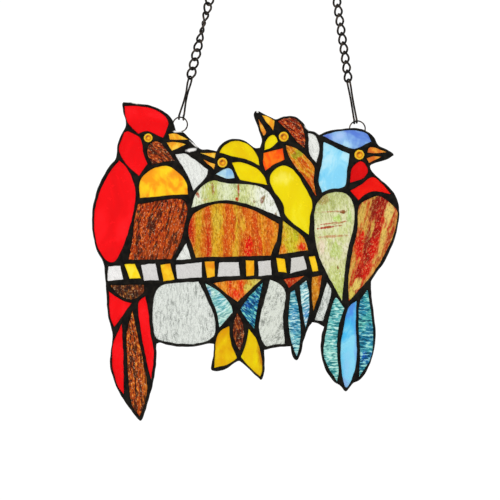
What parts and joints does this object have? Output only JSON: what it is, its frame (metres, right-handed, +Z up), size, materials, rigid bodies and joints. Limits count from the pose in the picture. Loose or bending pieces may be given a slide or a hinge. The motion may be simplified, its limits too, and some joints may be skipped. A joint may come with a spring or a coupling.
{
  "type": "stained glass panel",
  "caption": "Stained glass window hanging of songbirds side by side on a perch, cut panes held in dark solder seams, with rim rings, wire hooks and chains to hang it by.",
  "frame": {"origin": "midway between the two places where the chains' end rings are held from above", "axes": "+Z up, -Y towards the viewer in front of the panel, +X to that viewer's right"},
  "size_m": [0.2457, 0.0084, 0.3513],
  "materials": {
    "red_glass": "bright red opalescent glass, glossy",
    "brown_glass": "brown granular glass, rippled",
    "amber_glass": "amber glass with yellow wisps",
    "yellow_glass": "yellow opalescent glass, glossy",
    "orange_glass": "orange opalescent glass, glossy",
    "flame_glass": "orange-red opalescent glass",
    "streaky_glass": "streaky glass in orange, yellow, red and olive",
    "ruddy_glass": "streaky red and cream glass",
    "moss_glass": "pale green glass with brown streaks",
    "sky_glass": "sky blue wispy glass",
    "violet_glass": "violet-blue cloudy glass",
    "teal_glass": "teal rippled glass",
    "clear_glass": "clear hammered glass",
    "eye_jewel": "domed amber glass jewel",
    "solder": "blackened solder",
    "chain_metal": "dark antique metal wire"
  },
  "bodies": {
    "root": {"cardinal_crest": "red_glass", "cardinal_cheek": "red_glass", "cardinal_throat": "brown_glass", "cardinal_collar": "amber_glass", "cardinal_wing": "red_glass", "cardinal_belly": "brown_glass", "cardinal_vent": "brown_glass", "cardinal_tail_upper_left": "red_glass", "cardinal_tail_right": "red_glass", "cardinal_tail_lower_left": "red_glass", "cardinal_tail_centre": "brown_glass", "clear_between_heads": "clear_glass", "clear_triangle": "clear_glass", "finch_crown": "yellow_glass", "finch_nape": "yellow_glass", "finch_throat": "sky_glass", "finch_bib": "moss_glass", "finch_breast": "streaky_glass", "finch_vent": "streaky_glass", "finch_covert_left": "teal_glass", "finch_covert_right": "teal_glass", "finch_tail_centre": "brown_glass", "finch_tail_left": "yellow_glass", "finch_tail_right": "yellow_glass", "sparrow_crown": "brown_glass", "sparrow_throat": "yellow_glass", "sparrow_collar": "flame_glass", "sparrow_body": "yellow_glass", "sparrow_wing": "streaky_glass", "sparrow_belly": "streaky_glass", "sparrow_flank": "streaky_glass", "sparrow_vent": "ruddy_glass", "clear_behind_sparrow": "clear_glass", "bluebird_crown": "violet_glass", "bluebird_nape": "sky_glass", "bluebird_cheek": "red_glass", "bluebird_breast": "red_glass", "bluebird_wing": "moss_glass", "bluebird_body": "ruddy_glass", "clear_under_left": "clear_glass", "clear_under_middle": "clear_glass", "clear_under_right": "clear_glass", "cardinal_beak": "orange_glass", "finch_beak": "orange_glass", "sparrow_beak": "orange_glass", "sparrow_tail": "teal_glass", "bluebird_beak": "orange_glass", "bluebird_tail": "teal_glass", "perch_tiles": "clear_glass", "cardinal_eye": "eye_jewel", "finch_eye": "eye_jewel", "sparrow_eye": "eye_jewel", "bluebird_eye": "eye_jewel", "solder_network": "solder", "ring_left": "solder", "hook_left": "chain_metal", "chain_left": "chain_metal", "ring_right": "solder", "hook_right": "chain_metal", "chain_right": "chain_metal"}
  },
  "joints": []
}
